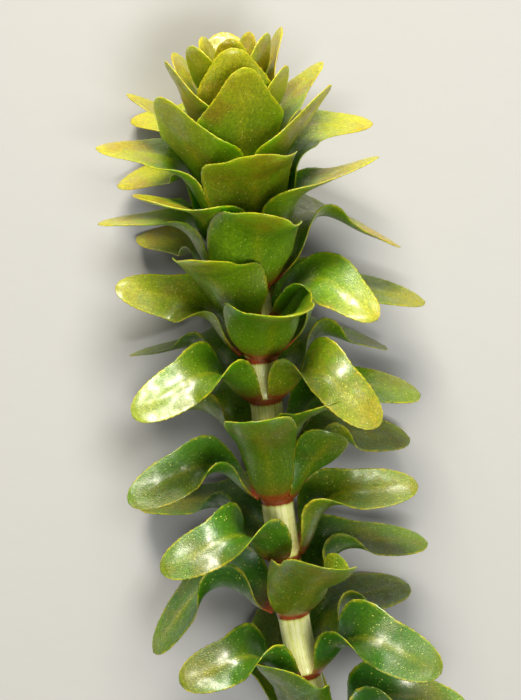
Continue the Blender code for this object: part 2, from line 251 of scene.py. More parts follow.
def stem_frame(distance):
    """The stem's middle, its direction, and the two directions across it: up and to the right."""
    step = 0.01
    along = unit(stem_point(distance + step) - stem_point(distance - step))
    upright = np.array([0.0, 0.0, 1.0])
    up = unit(upright - (along @ upright)[..., None] * along)
    return stem_point(distance), along, up, np.cross(along, up)


def leaf_grid(leaf, share, across):
    """Points of a leaf's middle surface, for a grid of shares of its length and places across it.

    The midrib is followed in small steps from the stem outwards: its slope eases from rise to tip, and its
    bearing eases sideways. At each place the cross-section is an arc with the midrib at its lowest point:
    the arc of the cone that the whorl's bases form near the stem, then a deeper channel, then nearly flat.
    Also gives half the leaf's width at each point.
    """
    distance = WHORLS[leaf.whorl - 1]
    centre, along, up, right = stem_frame(np.float64(distance))
    start = stem_radius(distance) * (1 + NODE_SWELLING) + LEAF_GAP + LEAF_THICKNESS / 2
    fine = np.linspace(0, 1, PATH_STEPS + 1)
    step = leaf.length / PATH_STEPS

    def stage(values):
        """The value for this leaf's whorl, between those of the stages before and after it."""
        return np.interp(leaf.whorl, STAGES, values)

    bend = ease((fine - leaf.bend_start) / (leaf.bend_end - leaf.bend_start))
    lean = stage(BASE_LEAN) * (1 - ease(fine / LEAN_END))
    slope = np.radians(leaf.rise - lean + (leaf.tip - leaf.rise) * bend)
    swing_start = stage(SWING_START)
    swung = leaf.swing * ease((fine - swing_start) / (SWING_END - swing_start))
    bearing = np.radians(leaf.bearing + swung)[:, None]
    out = np.cos(bearing) * up + np.sin(bearing) * right
    side = np.cos(bearing) * right - np.sin(bearing) * up
    forward = np.cos(slope)[:, None] * out + np.sin(slope)[:, None] * along
    face = np.cos(slope)[:, None] * along - np.sin(slope)[:, None] * out
    walked = np.cumsum((forward[1:] + forward[:-1]) / 2 * step, axis=0)
    midrib = centre + start * out[0] + np.vstack([np.zeros(3), walked])
    reach = start + np.concatenate([[0], np.cumsum(np.cos(slope[1:]) * step)])

    twist = leaf.twist * ease((fine - leaf.twist_start) / TWIST_SPAN)
    faded = 1 - ease((fine - SHINGLE_FADE_START) / SHINGLE_FADE_SPAN)
    shingle = stage(SHINGLE) * ease(fine / SHINGLE_SPAN) * faded
    turn = np.radians(twist + shingle)[:, None]
    side, face = np.cos(turn) * side + np.sin(turn) * face, np.cos(turn) * face - np.sin(turn) * side

    breadth = stage(BASE_BREADTH)
    narrowed = ease((fine - stage(NARROW_START)) / stage(NARROW_SPAN))
    full = leaf.width / 2 * (breadth + (1 - breadth) * narrowed)
    clasp = leaf.clasp + stage(OVERLAP) * ease((fine - OVERLAP_START) / OVERLAP_SPAN)
    clasping = np.radians(clasp) * reach
    both = (full**WIDTH_CORNER + clasping**WIDTH_CORNER) ** (1 / WIDTH_CORNER)
    half_width = full * clasping / both
    rounding = np.clip((fine - stage(TIP_START)) / (1 - stage(TIP_START)), 0, 1)
    half_width = np.maximum(half_width * np.sqrt(1 - rounding ** stage(TIP_POWER)), SMALLEST_HALF_WIDTH)

    cone = np.maximum(np.sin(slope), LEAST_CONE) / np.maximum(reach, LEAST_REACH)
    channel = stage(CHANNEL)
    arc = cone + (channel - cone) * ease((fine - CHANNEL_START) / CHANNEL_SPAN)
    arc += (leaf.flat - channel) * ease((fine - FLAT_START) / FLAT_SPAN)

    def at(values):
        """The vectors along the midrib at the shares of the grid."""
        return np.stack([np.interp(share, fine, column) for column in values.T], axis=-1)

    half = np.interp(share, fine, half_width)
    bow = np.interp(share, fine, arc)
    angle = bow * across * half
    sideways = np.sin(angle) / bow
    raised = (1 - np.cos(angle)) / bow
    return at(midrib) + sideways[..., None] * at(side) + raised[..., None] * at(face), half


BLADE_ROWS = 108
BLADE_COLUMNS = 18
# How the columns crowd towards the margins, from hardly near 0 to the most at 1.
COLUMN_CROWDING = 0.9
# Columns past this, from 0 at the midrib to 1 at the edge, are the margin that carries the teeth.
MARGIN_FROM = 0.999

# Teeth: their spacing, how hollow their backs are, and the shares over which they start and fade out.
TOOTH_SPACING = 0.3
TOOTH_HOLLOW = 1.5
TOOTH_RISE_SPAN = 0.15
TOOTH_FADE_SPAN = 0.04

# Slow waves of the blade: turns along it, half turns across it, weights, and where they set in.
WAVE_TURNS = (1.7, 2.9, 4.3)
WAVE_TILTS = (0.8, 1.4, 0.5)
WAVE_WEIGHTS = (1, 0.6, 0.4)
WAVE_START = 0.15
WAVE_SPAN = 0.35

# Shifts from each leaf to the next of its teeth, its waves along and across, and its tint.
TOOTH_STEP = 0.37
WAVE_STEP = 0.61
TILT_STEP = 0.23
VARIATION_STEP = 0.618

# The midrib stands out below by its height and sinks in above by a share of it.
RIB_HEIGHT = 0.05
RIB_WIDTH = 0.16
RIB_FADE_SPAN = 0.3
RIB_SINK = 0.4

# The blade thins towards its margins, and at its tip to a share of its thickness.
EDGE_THICKNESS = 0.035
EDGE_POWER = 3
TIP_THICKNESS = 0.35
TIP_THIN_SPAN = 0.06

# The name of each piece's UV map, and the mm that one unit of it spans.
FLAT_MAP = "along_and_across"
FLAT_MAP_SPAN = 10.0


def blade_surfaces(leaf, thickness, tooth_height, ripple, seed):
    """Both faces of a leaf as grids of points, with each point's share, place across and height on the rib.

    The middle surface is moved along its normal by a few slow waves that fade out at the base. The two
    faces stand half the thickness to each side, which thins towards the margins and the tip. The lower face
    also carries the midrib, a rounded ridge, and the upper face sinks a little along it. The margin carries
    small forward teeth: a sawtooth along the length, added to the place across in the outermost column.
    """
    share = np.linspace(0, 1, BLADE_ROWS + 1)[:, None] + np.zeros(BLADE_COLUMNS + 1)
    even = np.linspace(-1, 1, BLADE_COLUMNS + 1)[None, :] + np.zeros((BLADE_ROWS + 1, 1))
    quarter = np.pi / 2 * COLUMN_CROWDING
    across = np.sin(even * quarter) / np.sin(quarter)
    _, half = leaf_grid(leaf, share, across)
    phase = (share * leaf.length / TOOTH_SPACING + TOOTH_STEP * seed) % 1
    outermost = np.abs(even) > MARGIN_FROM
    fading = ease(share / TOOTH_RISE_SPAN) * ease((1 - share) / TOOTH_FADE_SPAN)
    toothed = across * (1 + outermost * fading * tooth_height * phase**TOOTH_HOLLOW / half)
    middle, half = leaf_grid(leaf, share, toothed)

    lengthwise = np.gradient(middle, axis=0)
    crosswise = np.gradient(middle, axis=1)
    normal = unit(np.cross(crosswise, lengthwise))
    turns = 2 * np.pi * (share * np.array(WAVE_TURNS)[:, None, None] + WAVE_STEP * seed)
    tilts = np.pi * (across * np.array(WAVE_TILTS)[:, None, None] + TILT_STEP * seed)
    waves = (np.sin(turns) * np.cos(tilts) * np.array(WAVE_WEIGHTS)[:, None, None]).sum(0)
    middle = middle + (ripple * waves * ease((share - WAVE_START) / WAVE_SPAN))[..., None] * normal

    from_rib = across * half
    ridge = np.exp(-((from_rib / RIB_WIDTH) ** 2)) * ease((1 - share) / RIB_FADE_SPAN)
    wall = EDGE_THICKNESS + (thickness - EDGE_THICKNESS) * (1 - np.abs(across) ** EDGE_POWER)
    wall = wall * (TIP_THICKNESS + (1 - TIP_THICKNESS) * ease((1 - share) / TIP_THIN_SPAN))
    upper = middle + (wall / 2 - RIB_SINK * RIB_HEIGHT * ridge)[..., None] * normal
    lower = middle - (wall / 2 + RIB_HEIGHT * ridge)[..., None] * normal
    return upper, lower, share, across, ridge


def closed_sheet_faces(rows, columns):
    """Quads of two facing grids and of the rim that joins them, all pointing outwards."""
    index = np.arange((rows + 1) * (columns + 1)).reshape(rows + 1, columns + 1)
    under = index + index.size
    quads = [
        np.stack([index[:-1, :-1], index[:-1, 1:], index[1:, 1:], index[1:, :-1]], -1).reshape(-1, 4),
        np.stack([under[:-1, :-1], under[1:, :-1], under[1:, 1:], under[:-1, 1:]], -1).reshape(-1, 4),
    ]
    rim = np.concatenate([index[0, :-1], index[:-1, -1], index[-1, :0:-1], index[:0:-1, 0]])
    after = np.roll(rim, -1)
    quads.append(np.stack([after, rim, rim + index.size, after + index.size], -1))
    return np.concatenate(quads).tolist()


def make_mesh(name, points, faces, values, flat_map):
    """A mesh from points in mm and lists of faces, with a float attribute for each value, and a UV map."""
    mesh = bpy.data.meshes.new(name)
    mesh.from_pydata((points * MM).tolist(), [], faces)
    for label, numbers in values.items():
        attribute = mesh.attributes.new(label, "FLOAT", "POINT")
        attribute.data.foreach_set("value", np.ascontiguousarray(numbers, np.float32).ravel())
    corners = np.empty(len(mesh.loops), np.int32)
    mesh.loops.foreach_get("vertex_index", corners)
    layer = mesh.uv_layers.new(name=FLAT_MAP)
    layer.data.foreach_set("uv", np.ascontiguousarray(flat_map[corners], np.float32).ravel())
    mesh.shade_smooth()
    mesh.validate()
    return mesh


def add_piece(name, mesh, material, node):
    """Puts a finished mesh in the scene at the origin, riding on the shoot's body in place of its solid."""
    piece = bpy.data.objects.new(name, mesh)
    piece.data.materials.append(material)
    bpy.context.scene.collection.objects.link(piece)
    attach(piece, "root")
    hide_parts(node)


def add_blade(leaf, settings, material):
    """One leaf as a closed sheet with toothed margins and a midrib."""
    seed = 1 + LEAVES.index(leaf)
    upper, lower, share, across, ridge = blade_surfaces(
        leaf, settings.leaf_thickness / MM, settings.tooth_height / MM, settings.ripple / MM, seed
    )
    points = np.concatenate([upper.reshape(-1, 3), lower.reshape(-1, 3)])
    faces = closed_sheet_faces(BLADE_ROWS, BLADE_COLUMNS)

    def twice(grid):
        """The grid's values for the upper and then the lower face."""
        return np.tile(grid.ravel(), 2)

    values = {
        "share": twice(share),
        "across": twice(across),
        "ridge": twice(ridge),
        "age": np.full(len(points), (leaf.whorl - 1) / (LAST_WHORL - 1)),
        "variation": np.full(len(points), (VARIATION_STEP * seed) % 1),
    }
    flat_map = np.stack([twice(share) * leaf.length, twice(across) * leaf.width / 2], -1) / FLAT_MAP_SPAN
    name = leaf.name + "_blade"
    add_piece(name, make_mesh(name, points, faces, values, flat_map), material, leaf.name)


STEM_ROWS = 420
STEM_SIDES = 56

# Furrows of the stem: how many go round it, with their weight, and how far and how fast they wander.
FURROWS = ((9, 0.35), (15, 0.3), (23, 0.2), (31, 0.15))
FURROW_WANDER = 0.7
FURROW_RATE = 0.22

# The red-brown ring below each whorl.
RING_OFFSET = -0.1
RING_SPREAD = 0.18

# Rings of each end. Those of the cut face lie between two shares of the radius. Those of the tip lie
# between two shares of a quarter turn over its bulge, which is in mm.
END_ROWS = 6
CUT_SPAN = (0.02, 0.94)
TIP_SPAN = (0.2, 0.98)
TIP_BULGE = 0.2


def stem_surface(furrow_depth):
    """The stem as a tube of rings round its curve, closed by a flat cut face and a blunt tip.

    The radius is that of the stem, swollen at each node by a bell curve, with shallow lengthwise furrows:
    cosines of the angle round the stem whose phase wanders slowly along it. The cut face and the tip are
    rings that shrink to a point. Also gives each ring's place along the stem, how far it has shrunk, its
    nearness to the red-brown ring of a node, and the angles round the stem.
    """
    body = np.linspace(0, STEM_LENGTH, STEM_ROWS + 1)
    cut_share = np.linspace(*CUT_SPAN, END_ROWS)
    tip_share = np.cos(np.linspace(*TIP_SPAN, END_ROWS) * np.pi / 2)
    tip_places = STEM_LENGTH + TIP_BULGE * np.sin(np.arccos(tip_share))
    places = np.concatenate([np.zeros(END_ROWS), body, tip_places])
    shrink = np.concatenate([cut_share, np.ones(STEM_ROWS + 1), tip_share])
    angles = np.linspace(0, 2 * np.pi, STEM_SIDES, endpoint=False)
    centre, _, up, right = stem_frame(places)

    nodes = np.array(WHORLS)
    swelling = np.exp(-(((places[:, None] - nodes) / NODE_SPREAD) ** 2)).sum(1)
    radius = stem_radius(np.minimum(places, STEM_LENGTH))
    radius = radius * (1 + NODE_SWELLING * np.minimum(swelling, 1)) * shrink
    furrows = sum(
        weight * np.cos(count * (angles + FURROW_WANDER * np.sin(places[:, None] * FURROW_RATE + count)))
        for count, weight in FURROWS
    )
    radius = radius[:, None] + furrow_depth * furrows * shrink[:, None] ** 2
    around = np.cos(angles)[None, :, None] * up[:, None] + np.sin(angles)[None, :, None] * right[:, None]
    points = centre[:, None] + radius[..., None] * around
    ring = np.exp(-(((places[:, None] - nodes - RING_OFFSET) / RING_SPREAD) ** 2)).max(1)
    return points, places, shrink, ring, angles


def stem_faces(rows, sides):
    """Quads between neighbouring rings, and a fan of triangles at each end point."""
    index = np.arange(rows * sides).reshape(rows, sides)
    after = np.roll(index, -1, axis=1)
    quads = np.stack([index[:-1], index[1:], after[1:], after[:-1]], -1).reshape(-1, 4)
    first, last = rows * sides, rows * sides + 1
    start_fan = np.stack([index[0], after[0], np.full(sides, first)], -1)
    end_fan = np.stack([after[-1], index[-1], np.full(sides, last)], -1)
    return quads.tolist() + start_fan.tolist() + end_fan.tolist()


def color_property(name, description, value):
    """A colour that a user may change, as red, green and blue."""
    return FloatVectorProperty(
        name=name, description=description, subtype="COLOR", size=3, min=0, max=1, default=value
    )


def length_property(name, description, value, most, least=0):
    """A length that a user may change, given in mm."""
    return FloatProperty(
        name=name, description=description, default=value * MM, min=least * MM, max=most * MM, unit="LENGTH"
    )


class WaterweedShapeSettings(bpy.types.PropertyGroup):
    """Sizes of the relief on the leaves and the stem"""

    leaf_thickness: length_property("Leaf thickness", "Thickness of a leaf at its middle", 0.13, 0.14, 0.04)
    tooth_height: length_property("Tooth height", "How far the teeth of a leaf stand out", 0.035, 0.1)
    ripple: length_property("Ripple", "Height of the slow waves in a leaf's surface", 0.02, 0.1)
    furrow_depth: length_property("Furrow depth", "Depth of the furrows along the stem", 0.012, 0.03)


class WaterweedColorSettings(bpy.types.PropertyGroup):
    """Colours of the shoot and the floor"""

    old_green: color_property("Old leaf green", "Green of the lowest leaves", (0.022, 0.09, 0.003))
    middle_green: color_property("Leaf green", "Green of the middle leaves", (0.09, 0.19, 0.003))
    young_green: color_property("Young leaf green", "Yellow-green of the bud", (0.13, 0.21, 0.004))
    tip_yellow: color_property("Tip yellow", "Yellow of the leaf tips and margins", (0.36, 0.33, 0.006))
    olive: color_property("Olive", "Brownish green of some leaves", (0.13, 0.13, 0.004))
    rust: color_property("Rust", "Brown-orange of the ageing patches", (0.22, 0.1, 0.005))
    ring_red: color_property("Node red", "Red-brown of the ring below each whorl", (0.28, 0.045, 0.01))
    # Painted glint: the pale gold painted into the base colour of a few cells as their wet highlights.
    glint: color_property("Glint", "Pale gold of the cells that glint", (0.85, 0.8, 0.25))
    stem_cream: color_property("Stem cream", "Pale yellow of the bare stem", (0.95, 0.95, 0.46))
    stem_green: color_property("Stem green", "Green of the streaks along the stem", (0.6, 0.63, 0.08))
    floor_color: color_property("Floor", "Colour of the floor", (0.42, 0.42, 0.42))


class WaterweedLightSettings(bpy.types.PropertyGroup):
    """Lights, camera and floor"""

    key_power: FloatProperty(
        name="Key power", description="Power of the large soft light", default=2.6, min=0, unit="POWER"
    )
    fill_power: FloatProperty(
        name="Fill power", description="Power of the fill light", default=0.55, min=0, unit="POWER"
    )
    world_strength: FloatProperty(
        name="Surrounding light", description="Strength of the even surrounding light", default=0.1, min=0
    )
    focal_length: FloatProperty(
        name="Focal length", description="Focal length of the camera", default=134.7, min=10, unit="CAMERA"
    )
    floor_segments: IntProperty(
        name="Floor segments", description="Segments of the floor to each side", default=24, min=2
    )


def new_group(name, inputs, outputs):
    """A node group with inputs, each (name, type, default), and its inner input and output sockets."""
    group = bpy.data.node_groups.new(name, "ShaderNodeTree")
    for label, kind, value in inputs:
        socket = group.interface.new_socket(name=label, in_out="INPUT", socket_type=kind)
        if value is not None:
            socket.default_value = value
    for label in outputs:
        group.interface.new_socket(name=label, in_out="OUTPUT", socket_type="NodeSocketFloat")
    return group, group.nodes.new("NodeGroupInput").outputs, group.nodes.new("NodeGroupOutput").inputs


# Places of the colour sockets among all the sockets of a Mix node.
MIX_FIRST = 6
MIX_SECOND = 7
MIX_RESULT = 2


class Nodes:
    """Short ways to add nodes to one tree. An input takes a number, a colour or another node's socket."""

    def __init__(self, tree):
        self.tree = tree

    def put(self, socket, value):
        """Links a socket into an input, or sets the input to a plain number or colour."""
        if isinstance(value, bpy.types.NodeSocket):
            self.tree.links.new(value, socket)
        elif socket.type == "RGBA":
            socket.default_value = (*value, 1)
        else:
            socket.default_value = value

    def add(self, kind, settings=None, **inputs):
        """A new node with its settings, and its inputs given by name with _ for a space."""
        node = self.tree.nodes.new(kind)
        for key, value in (settings or {}).items():
            setattr(node, key, value)
        for key, value in inputs.items():
            self.put(node.inputs[key.replace("_", " ")], value)
        return node

    def math(self, operation, first, second=0.0):
        """The result of one operation on two numbers, or on the first alone."""
        node = self.add("ShaderNodeMath", {"operation": operation})
        self.put(node.inputs[0], first)
        self.put(node.inputs[1], second)
        return node.outputs[0]

    def times(self, first, second):
        """The product of two numbers."""
        return self.math("MULTIPLY", first, second)

    def mix(self, factor, first, second, blend="MIX"):
        """The first colour where the factor is 0, blended with the second where it is 1."""
        node = self.add("ShaderNodeMix", {"data_type": "RGBA", "blend_type": blend}, Factor=factor)
        self.put(node.inputs[MIX_FIRST], first)
        self.put(node.inputs[MIX_SECOND], second)
        return node.outputs[MIX_RESULT]

    def tinted(self, color, tint):
        """The colour with its red, green and blue each multiplied by the tint's."""
        return self.mix(1.0, color, tint, "MULTIPLY")

    def ramp(self, value, low, high, to_low=0.0, to_high=1.0):
        """A gentle step from to_low, where the value is low, to to_high, where it is high."""
        node = self.add("ShaderNodeMapRange", {"interpolation_type": "SMOOTHSTEP"}, Value=value)
        node.inputs["From Min"].default_value = low
        node.inputs["From Max"].default_value = high
        node.inputs["To Min"].default_value = to_low
        node.inputs["To Max"].default_value = to_high
        return node.outputs["Result"]

    def attribute(self, name):
        """A number that the mesh holds at each point."""
        return self.add("ShaderNodeAttribute", {"attribute_name": name}).outputs["Fac"]

    def object_place(self):
        """The place on the piece, in metres."""
        return self.add("ShaderNodeTexCoord").outputs["Object"]

    def flat_place(self):
        """The place on the piece's own map, along it and across it."""
        return self.add("ShaderNodeUVMap", {"uv_map": FLAT_MAP}).outputs["UV"]

    def noise(self, vector, scale, detail=2.0, roughness=0.5):
        """Cloudy noise from 0 to 1, about one cloud to each unit of the scaled vector."""
        inputs = {"Vector": vector, "Scale": scale, "Detail": detail, "Roughness": roughness}
        return self.add("ShaderNodeTexNoise", **inputs).outputs["Fac"]

    def stretched(self, vector, scale):
        """The vector multiplied by a scale of its own along each axis."""
        node = self.add("ShaderNodeMapping", Vector=vector)
        node.inputs["Scale"].default_value = scale
        return node.outputs["Vector"]

    def moved(self, vector, shift):
        """The vector with a number added to its height, which gives another part of the same pattern."""
        offset = self.add("ShaderNodeCombineXYZ", Z=shift).outputs[0]
        node = self.add("ShaderNodeVectorMath", {"operation": "ADD"})
        self.put(node.inputs[0], vector)
        self.put(node.inputs[1], offset)
        return node.outputs[0]

    def bump(self, height, strength, depth):
        """The surface's direction where the height from 0 to 1 is raised by a depth in metres."""
        node = self.add("ShaderNodeBump", Strength=strength, Distance=depth, Height=height)
        return node.outputs["Normal"]

    def group(self, name, **inputs):
        """The outputs of one of the shared groups, with its inputs given by name."""
        node = self.add("ShaderNodeGroup", {"node_tree": shared_group(name)})
        for key, value in inputs.items():
            self.put(node.inputs[key], value)
        return node.outputs


# Plant cells, in mm. CELLS_SHIFT is how many cells one unit of shift moves the pattern by.
CELL_LENGTH = 0.09
CELL_WIDTH = 0.05
CELLS_SHIFT = 40.0
# Distances from a cell's middle, in cells, where its dome and its painted glint start and where they are
# full.
DOME = (0.75, 0.0)
GLINT_SPOT = (0.45, 0.1)
# The random tones at which a cell starts to carry a painted glint and carries it fully.
GLINTING = (0.87, 0.97)


def cell_group():
    """Plant cells over a UV map: the height of their domes, a mask of the few that carry a painted glint,
    and tones.
    """
    group, given, result = new_group(
        "plant_cells",
        (("Vector", "NodeSocketVector", None), ("Shift", "NodeSocketFloat", 0.0)),
        ("Height", "Glint", "Tone"),
    )
    nodes = Nodes(group)
    spread = nodes.stretched(given["Vector"], (FLAT_MAP_SPAN / CELL_LENGTH, FLAT_MAP_SPAN / CELL_WIDTH, 1))
    place = nodes.moved(spread, nodes.times(given["Shift"], CELLS_SHIFT))
    cells = nodes.add("ShaderNodeTexVoronoi", {"feature": "F1"}, Vector=place, Scale=1.0)
    tones = nodes.add("ShaderNodeSeparateColor", Color=cells.outputs["Color"]).outputs
    nodes.put(result["Height"], nodes.ramp(cells.outputs["Distance"], *DOME))
    spot = nodes.ramp(cells.outputs["Distance"], *GLINT_SPOT)
    nodes.put(result["Glint"], nodes.times(nodes.ramp(tones[0], *GLINTING), spot))
    nodes.put(result["Tone"], tones[1])
    return group


# Detail of the large and small patches, and the noise values at which a patch starts and is full.
LARGE_DETAIL = 3.0
SMALL_DETAIL = 2.0
LARGE_EDGE = (0.35, 0.68)
SMALL_EDGE = (0.35, 0.65)


def patch_group():
    """Cloudy patches in two sizes, for the uneven tone of a living surface: two masks from 0 to 1."""
    group, given, result = new_group(
        "uneven_patches",
        (
            ("Vector", "NodeSocketVector", None),
            ("Large", "NodeSocketFloat", 400.0),
            ("Small", "NodeSocketFloat", 3000.0),
            ("Shift", "NodeSocketFloat", 0.0),
        ),
        ("Large mask", "Small mask"),
    )
    nodes = Nodes(group)
    place = nodes.moved(given["Vector"], given["Shift"])
    large = nodes.noise(place, given["Large"], LARGE_DETAIL)
    small = nodes.noise(place, given["Small"], SMALL_DETAIL)
    nodes.put(result["Large mask"], nodes.ramp(large, *LARGE_EDGE))
    nodes.put(result["Small mask"], nodes.ramp(small, *SMALL_EDGE))
    return group


GROUPS = {"plant_cells": cell_group, "uneven_patches": patch_group}


def shared_group(name):
    """One of the node groups that several materials use, made the first time it is asked for."""
    return bpy.data.node_groups.get(name) or GROUPS[name]()


def new_material(name):
    """A material, the helper that adds nodes to it, and the inputs of its shader."""
    material = bpy.data.materials.new(name)
    material.use_nodes = True
    return material, Nodes(material.node_tree), material.node_tree.nodes["Principled BSDF"].inputs


# Where each colour of a leaf sets in: the two values of its age, share, place across or mask between which
# the colour's strength changes, and then the strengths there, unless they are 0 and 1.
MIDDLE_AGE = (0.05, 0.5)
YOUNG_AGE = (0.5, 1.0)
PALER_LEAVES = (0.2, 1.0, 0.0, 0.3)
OLIVE_LEAVES = (0.45, 0.9)
OLIVE_PATCHES = (0.0, 1.0, 0.25, 0.55)
TIP_SHARE_SPAN = (0.5, 1.05)
TIP_AGE = (0.2, 0.6, 0.12, 0.8)
RUST_PATCHES = (0.3, 1.0)
RUST_SHARE = (0.3, 0.7)
MARGIN = (0.9, 1.0)
MARGIN_PATCHES = (0.0, 1.0, 0.1, 0.55)
GRAIN = (0.4, 0.65, 0.0, 0.45)
CELL_TONE = (0.0, 1.0, 0.0, 0.6)
RED_FOOT_AGE = (0.58, 0.5)
BROWN_FOOT = (0.22, 0.06, 0.0, 0.5)
RED_FOOT = (0.09, 0.045)
WET_PATCHES = (0.0, 1.0, 0.6, 0.2)

# Strengths of the dark patches, the paler midrib and the painted glints, and tints of the patches, grain
# and cells.
DARK_STRENGTH = 0.7
RIB_STRENGTH = 0.18
PAINTED_GLINT_STRENGTH = 0.7
DARK_TINT = (0.6, 0.72, 0.6)
GRAIN_TINT = (1.6, 1.45, 1.0)
CELL_TINT = (1.7, 1.5, 1.1)

# Patches and grain to a metre, roughness with what patches add to it, and the depth of the cells in mm.
LEAF_PATCHES = {"Large": 420.0, "Small": 2600.0}
GRAIN_SCALE = 8000.0
LEAF_ROUGHNESS = 0.34
ROUGHER_PATCHES = 0.12
LEAF_BUMP = 0.6
LEAF_CELL_DEPTH = 0.012
LEAF_SURFACE = {
    "Specular IOR Level": 0.4,
    "Coat Roughness": 0.24,
    "Subsurface Weight": 0.5,
    "Subsurface Radius": (0.5, 1.0, 0.04),
    "Subsurface Scale": 0.5 * MM,
}


def set_plain(shader, values):
    """Sets inputs of a shader that are the same all over the surface."""
    for name, value in values.items():
        shader[name].default_value = value


def leaf_material(name, colors, rust_amount):
    """Wet living leaf.

    Green by the leaf's place on the shoot, yellower towards its tip, with cloudy darker, olive and rusty
    patches, a fine grain, a red foot at the node on grown leaves, a paler midrib and margin, and small
    cells of which a few carry a painted glint, a pale gold highlight in the base colour. Patches of the
    surface are wetter than the rest.
    """
    material, nodes, shader = new_material(name)
    where = nodes.object_place()
    flat = nodes.flat_place()
    share = nodes.attribute("share")
    across = nodes.math("ABSOLUTE", nodes.attribute("across"))
    age = nodes.attribute("age")
    variation = nodes.attribute("variation")
    patches = nodes.group("uneven_patches", Vector=where, Shift=variation, **LEAF_PATCHES)
    large, small = patches["Large mask"], patches["Small mask"]
    cells = nodes.group("plant_cells", Vector=flat, Shift=variation)

    color = nodes.mix(nodes.ramp(age, *MIDDLE_AGE), colors.old_green, colors.middle_green)
    color = nodes.mix(nodes.ramp(age, *YOUNG_AGE), color, colors.young_green)
    color = nodes.mix(nodes.ramp(variation, *PALER_LEAVES), color, colors.young_green)
    color = nodes.mix(nodes.times(large, DARK_STRENGTH), color, nodes.tinted(color, DARK_TINT))
    olive = nodes.times(nodes.ramp(variation, *OLIVE_LEAVES), nodes.ramp(small, *OLIVE_PATCHES))
    color = nodes.mix(olive, color, colors.olive)
    tip = nodes.times(nodes.ramp(share, *TIP_SHARE_SPAN), nodes.ramp(age, *TIP_AGE))
    color = nodes.mix(tip, color, colors.tip_yellow)
    rust = nodes.times(nodes.ramp(large, *RUST_PATCHES), nodes.ramp(share, *RUST_SHARE, 0.0, rust_amount))
    color = nodes.mix(rust, color, colors.rust)
    color = nodes.mix(nodes.times(nodes.attribute("ridge"), RIB_STRENGTH), color, colors.tip_yellow)
    margin = nodes.times(nodes.ramp(across, *MARGIN), nodes.ramp(small, *MARGIN_PATCHES))
    color = nodes.mix(margin, color, colors.tip_yellow)
    grain = nodes.ramp(nodes.noise(where, GRAIN_SCALE), *GRAIN)
    color = nodes.mix(grain, color, nodes.tinted(color, GRAIN_TINT))
    color = nodes.mix(nodes.ramp(cells["Tone"], *CELL_TONE), color, nodes.tinted(color, CELL_TINT))
    grown = nodes.ramp(age, *RED_FOOT_AGE)
    color = nodes.mix(nodes.times(nodes.ramp(share, *BROWN_FOOT), grown), color, colors.rust)
    color = nodes.mix(nodes.times(nodes.ramp(share, *RED_FOOT), grown), color, colors.ring_red)
    # Painted glint: pale gold painted on a few cells as their wet highlights.
    color = nodes.mix(nodes.times(cells["Glint"], PAINTED_GLINT_STRENGTH), color, colors.glint)

    nodes.put(shader["Base Color"], color)
    nodes.put(shader["Roughness"], nodes.math("ADD", LEAF_ROUGHNESS, nodes.times(small, ROUGHER_PATCHES)))
    nodes.put(shader["Coat Weight"], nodes.ramp(small, *WET_PATCHES))
    nodes.put(shader["Normal"], nodes.bump(cells["Height"], LEAF_BUMP, LEAF_CELL_DEPTH * MM))
    set_plain(shader, LEAF_SURFACE)
    return material


# Streaks and finer threads of the stem: how much their noise is squeezed along, across and through.
STREAK_STRETCH = (2.0, 120.0, 1.0)
THREAD_STRETCH = (9.0, 360.0, 1.0)
STREAK_DETAIL = 3.0
THREAD_DETAIL = 2.0
STREAK_ROUGHNESS = 0.6

# Where each colour of the stem sets in, as for a leaf, and the colours of its patches and painted glints.
STREAKS = (0.42, 0.72)
THREADS = (0.5, 0.7, 0.0, 0.35)
RING_HALO = (0.02, 0.5, 0.0, 0.6)
RING_CORE = (0.35, 0.75)
RING_RAGGEDNESS = 0.6
GREEN_TIP = (0.68, 0.85)
STEM_PATCH_STRENGTH = 0.25
STEM_PATCH_COLOR = (0.95, 0.93, 0.5)
STEM_PAINTED_GLINT_STRENGTH = 0.5
STEM_PAINTED_GLINT_COLOR = (1.0, 1.0, 0.8)

# Patches to a metre, which part of the shared patterns the stem shows, its roughness and its relief in mm.
STEM_PATCHES = {"Large": 500.0, "Small": 4000.0, "Shift": 0.3}
STEM_CELLS_PART = 0.5
STEM_ROUGHNESS = 0.26
THREAD_RELIEF = 2.0
STEM_BUMP = 0.4
STEM_RELIEF_DEPTH = 0.015
STEM_SURFACE = {
    "Coat Weight": 0.7,
    "Coat Roughness": 0.12,
    "Subsurface Weight": 0.4,
    "Subsurface Radius": (1.0, 0.9, 0.3),
    "Subsurface Scale": 0.6 * MM,
}


